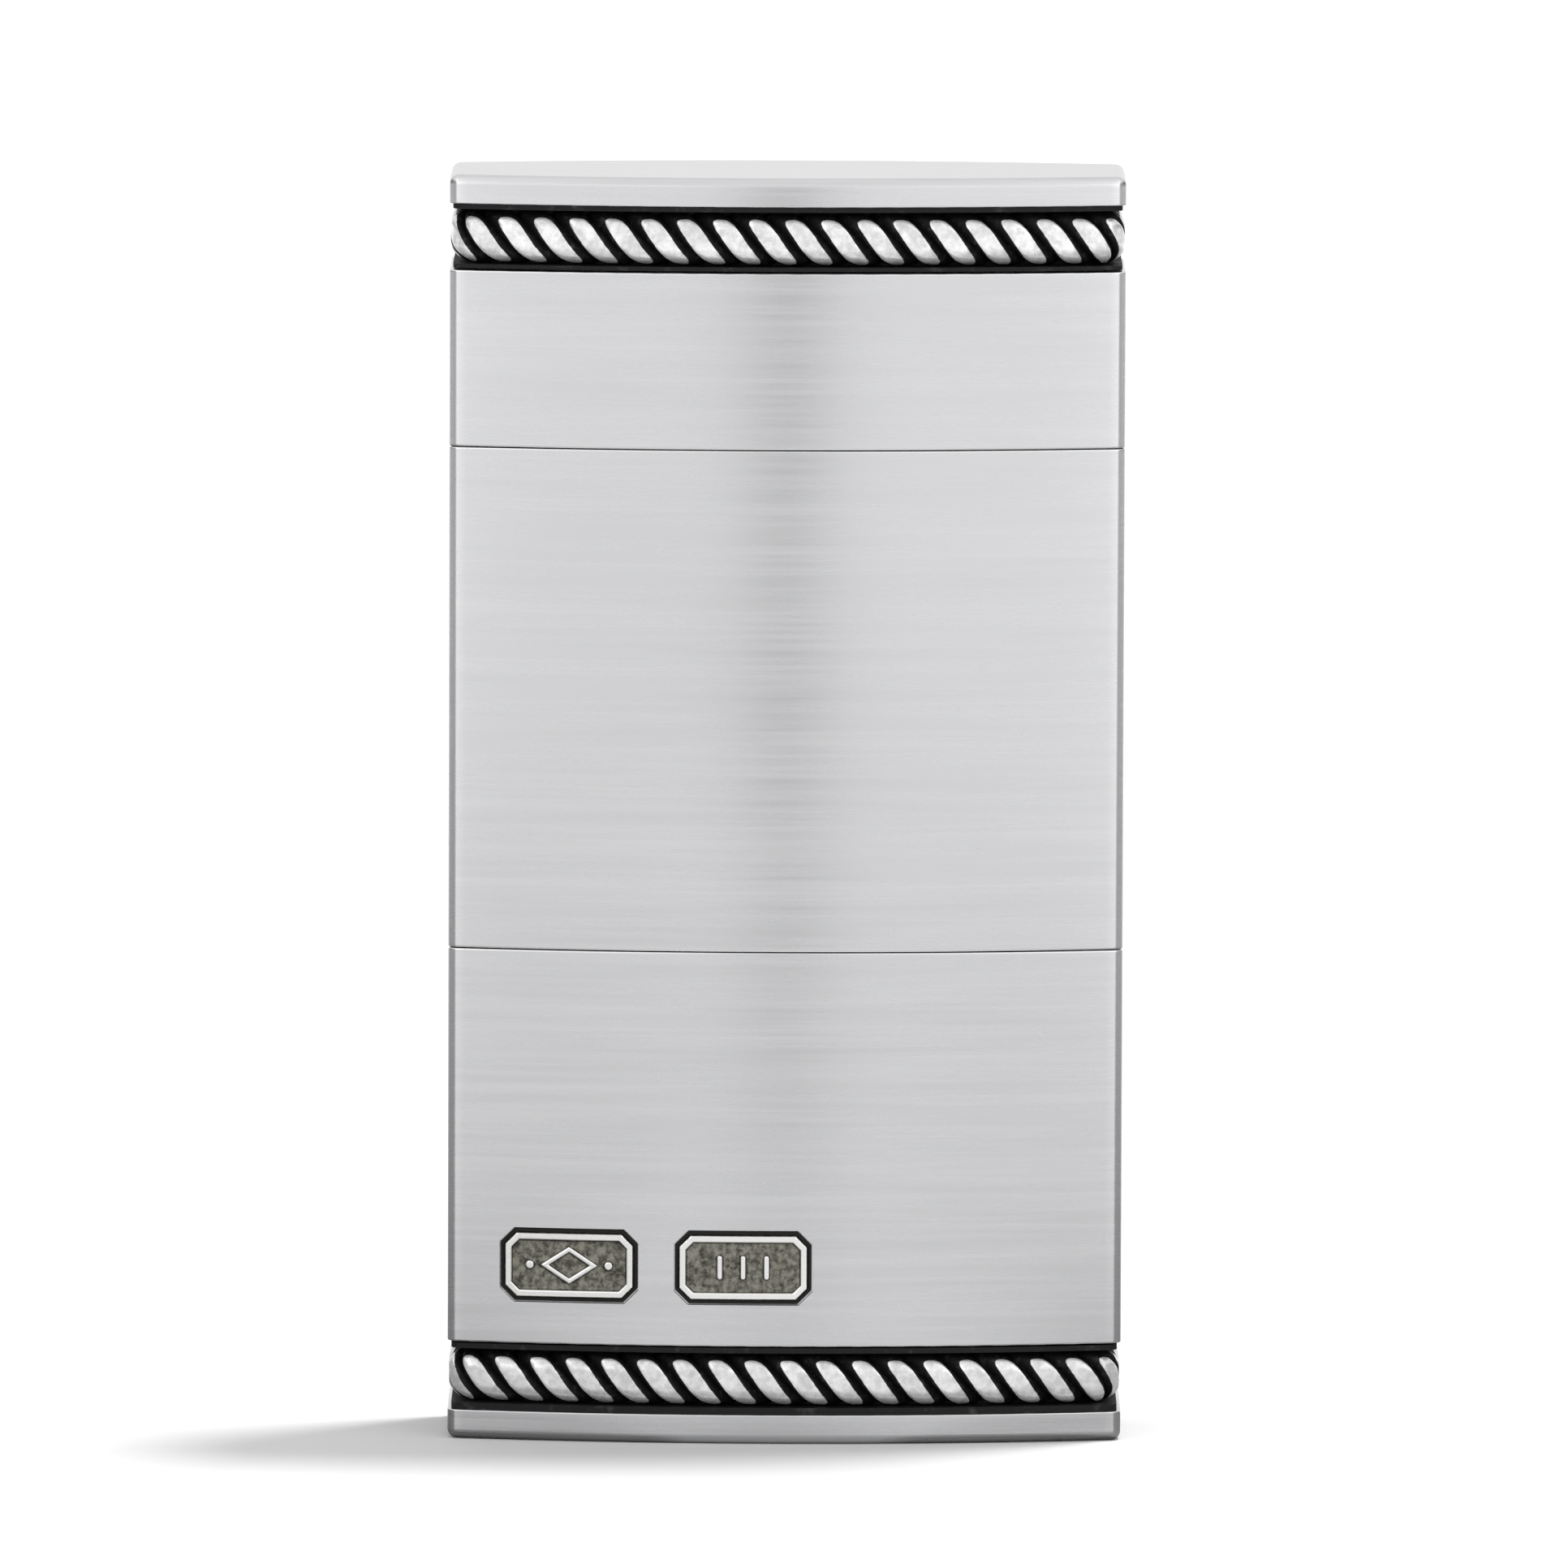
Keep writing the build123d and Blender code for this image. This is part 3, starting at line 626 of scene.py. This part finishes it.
polished_brass = machined(
    "polished_brass", dark=(0.60, 0.36, 0.09), light=(0.78, 0.51, 0.17), rough=0.14,
    grain=(1, 1, 60), lines=140, stain=(0.36, 0.20, 0.06), stained=0.35,
)
milled_steel = machined(
    "milled_steel", dark=(0.36, 0.36, 0.37), light=(0.54, 0.54, 0.55), rough=0.26,
    grain=(1, 1, 20), lines=300, stain=(0.20, 0.19, 0.18), stained=0.3,
)
rubber = machined(
    "black_rubber", dark=(0.018, 0.018, 0.018), light=(0.04, 0.04, 0.04), rough=0.6,
    grain=(1, 1, 1), lines=900, stain=(0.08, 0.08, 0.08), stained=0.3, metallic=0.0,
)
VIAL_WALL = 0.4 * MM
VIAL_CEILING = 59.5 * MM
VIAL_POINTS = 160
SPIGOT_RADIUS = 3.0 * MM
SEAT_GAP = 0.06 * MM  # between the spindle's end and the head's seat
SEAL_FIT = 0.02 * MM
RIM_BREAK = 0.05 * MM


def turned(name, line):
    """A turned piece: (radius, level) pairs carried round the axis, with a disc at each end."""
    turn = np.linspace(0, 2 * np.pi, VIAL_POINTS, endpoint=False)
    radius, level = np.array(line).T[:, :, None]
    height = np.broadcast_to(level, (len(line), VIAL_POINTS))
    grid = np.stack([radius * np.cos(turn), radius * np.sin(turn), height], -1)
    return new_piece(name, grid, capped_faces(*grid.shape[:2]))


low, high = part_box("vial")
wall, foot, top = high[0], low[2], high[2]
seal_low, seal_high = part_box("seal_ring")
seal_from, seal_to = seal_low[2] - SEAL_FIT, seal_high[2] + SEAL_FIT
groove = seal_high[0] - (seal_high[2] - seal_low[2]) - SEAL_FIT
bore = wall - VIAL_WALL
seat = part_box("spindle")[1][2] + SEAT_GAP
piece = turned("turned_vial", [
    (bore, VIAL_CEILING), (bore, foot + RIM_BREAK), (bore + RIM_BREAK, foot),
    (wall - RIM_BREAK, foot), (wall, foot + RIM_BREAK),
    (wall, seal_from), (groove, seal_from), (groove, seal_to), (wall, seal_to),
    (wall, seat), (SPIGOT_RADIUS, seat), (SPIGOT_RADIUS, top),
])
piece.data.materials.append(polished_brass)
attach(piece, "head")
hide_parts("vial")
finish_nodes(milled_steel, "tooth_rail")
finish_nodes(rubber, "seal_ring")
finish_nodes(screw_steel, "head_screws")

# ---------------------------------------------------------------- floor
# A sheet of white paper. What the silver mirrors of it is painted with shade, as flags would
# shade it: dim close to the case and to its sides, and lighter further off, with a narrow band
# ahead.

FLOOR_REACH = 4.0
BAND_EDGES = (0.004, 0.03)  # from the middle line to the edge of the band, in metres
BAND_NEAR, BAND_FAR = (0.05, 0.2), (0.15, 0.5)

floor_mesh = bpy.data.meshes.new("floor")
corners = np.array([(-1, -1, 0), (1, -1, 0), (1, 1, 0), (-1, 1, 0)]) * FLOOR_REACH
floor_mesh.from_pydata(corners.tolist(), [], [(0, 1, 2, 3)])
floor = bpy.data.objects.new("floor", floor_mesh)
bpy.context.collection.objects.link(floor)
paper, paper_shader, place = new_finish("white_paper", metallic=0.0, roughness=0.85)
across, ahead = place.part("X"), place.part("Y") * -1
band = 1 - across.math("ABSOLUTE").rise(*BAND_EDGES)
bearing = place.node("VectorMath", {"operation": "NORMALIZE"}, {0: place})
beside = bearing.part("X").math("ABSOLUTE").rise(0.62, 0.80)
far = place.node("VectorMath", {"operation": "LENGTH"}, {0: place}, output="Value").rise(0.0, 0.55)
shade = far * 0.46 + 0.325 - band * ahead.rise(*BAND_FAR) * 0.65
shade = shade + band * (1 - ahead.rise(*BAND_NEAR)) * 0.14 - beside * 0.22
shade = shade + across.rise(-0.01, 0.06) * 0.05 - ahead.rise(0.48, 0.68) * 0.25
# Painted shade: only rays mirrored off the silver see it; all other rays see the even white paper.
mirrored = place.node("LightPath", output="Is Glossy Ray")
white = place.noise(30, 3) * 0.02 + 0.675
tone = white * (1 - mirrored) + shade * mirrored
feed(paper_shader, base_color=tone.blend((0, 0, 0), (1, 1, 1)))
floor_mesh.materials.append(paper)

# ---------------------------------------------------------------- studio
# An even white room with a dark strip behind the viewer, a soft lamp to each side of it and
# flags low down at the sides. A soft sun, high on the right, lights but does not glint.

world = bpy.data.worlds.new("studio")
bpy.context.scene.world = world
world.use_nodes = True
sky = world.node_tree
direction = Tone(sky, sky.nodes.new("ShaderNodeTexCoord").outputs["Generated"])
aside, height = direction.part("X").math("ABSOLUTE"), direction.part("Z")
behind_case = direction.part("Y")
viewer_side = 1 - behind_case.rise(-0.5, 0.1)
strip = (1 - aside.rise(0.0, 0.1)) * viewer_side
lamps = aside.rise(0.38, 0.5) * (1 - aside.rise(0.6, 0.7)) * viewer_side
flags = aside.rise(0.62, 0.80) * (1 - height.rise(0.35, 0.6))
glow = 1.1 - strip * 0.45 + lamps * 0.7 - flags * 0.85
glow = glow - behind_case.rise(0.0, 0.4) * 0.11 - height.rise(0.2, 0.6) * 0.12
seen = direction.node("LightPath", output="Is Camera Ray")
level = glow * (1 - seen) + seen
sky.links.new(level.socket, sky.nodes["Background"].inputs["Strength"])
sky.nodes["Background"].inputs["Color"].default_value = (1, 1, 1, 1)
bpy.context.scene.view_settings.view_transform = "Standard"

SUN_WIDTH = 9  # degrees across, which softens the shadow's edge
SUN_TRAVEL = Vector((-16, -9, -68))
sun = bpy.data.lights.new("key", "SUN")
sun.angle = np.radians(SUN_WIDTH)
sun.energy = 2.5
key = bpy.data.objects.new("key", sun)
bpy.context.collection.objects.link(key)
key.visible_glossy = False
key.rotation_euler = SUN_TRAVEL.to_track_quat("-Z", "Y").to_euler()

# ---------------------------------------------------------------- camera
# A long lens a little above the case and square to its front, set back about a metre from the
# middle of the case and rolled a hair.

CAMERA_RANGE = 1.1006
CAMERA_LIFT = np.radians(6.56)
CAMERA_ROLL = np.radians(0.2)
MIDDLE_HEIGHT = 33.9 * MM  # of the case, which the camera's range is measured from
AIM = Vector((-0.11 * MM, 0, 34.8 * MM))

camera_data = bpy.data.cameras.new("camera")
camera_data.sensor_width = 36
camera_data.lens = 472.2
camera_data.clip_end = 20
camera = bpy.data.objects.new("camera", camera_data)
bpy.context.collection.objects.link(camera)
bpy.context.scene.camera = camera
lift, back = CAMERA_RANGE * np.sin(CAMERA_LIFT), CAMERA_RANGE * np.cos(CAMERA_LIFT)
camera.location = (0, -back, MIDDLE_HEIGHT + lift)
look = (AIM - camera.location).to_track_quat("-Z", "Y").to_matrix().to_4x4()
roll = Matrix.Rotation(CAMERA_ROLL, 4, "Z")
camera.matrix_world = Matrix.Translation(camera.location) @ look @ roll
